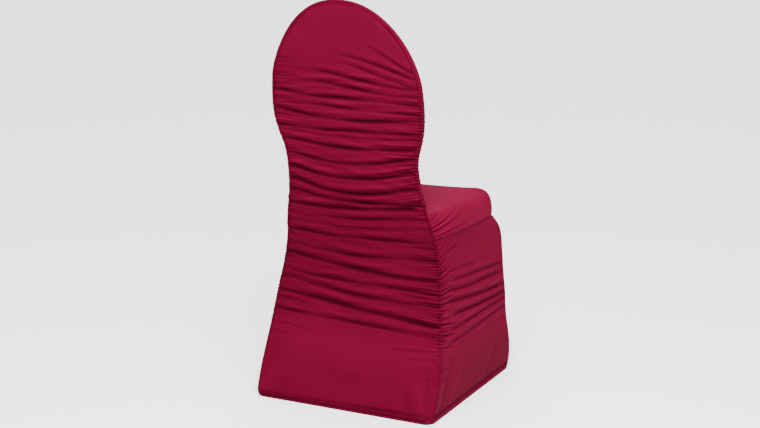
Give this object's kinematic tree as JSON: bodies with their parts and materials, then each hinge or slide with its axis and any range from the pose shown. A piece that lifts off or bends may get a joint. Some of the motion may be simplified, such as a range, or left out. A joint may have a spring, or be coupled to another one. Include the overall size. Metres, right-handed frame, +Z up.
{
  "type": "banquet chair cover",
  "caption": "Fitted stretch cover for a round-back banquet chair, with a ruched full-length back, a smooth seat panel and skirts that reach the floor.",
  "frame": {"origin": "on the floor under the middle of the cover's bounding box", "axes": "+Z is up; the chair inside faces -Y, so the outside back is on the +Y side; +X is the sitter's left"},
  "size_m": [0.463, 0.4749, 0.953],
  "materials": {
    "outside_back": "satin-faced stretch knit, deep crimson",
    "inside_back": "satin-faced stretch knit, deep crimson",
    "seat": "satin-faced stretch knit, deep crimson",
    "side_skirt_left": "satin-faced stretch knit, deep crimson",
    "side_skirt_right": "satin-faced stretch knit, deep crimson",
    "front_skirt": "satin-faced stretch knit, deep crimson"
  },
  "bodies": {
    "root": {"outside_back": "outside_back", "inside_back": "inside_back", "seat": "seat", "side_skirt_left": "side_skirt_left", "side_skirt_right": "side_skirt_right", "front_skirt": "front_skirt"}
  },
  "joints": []
}
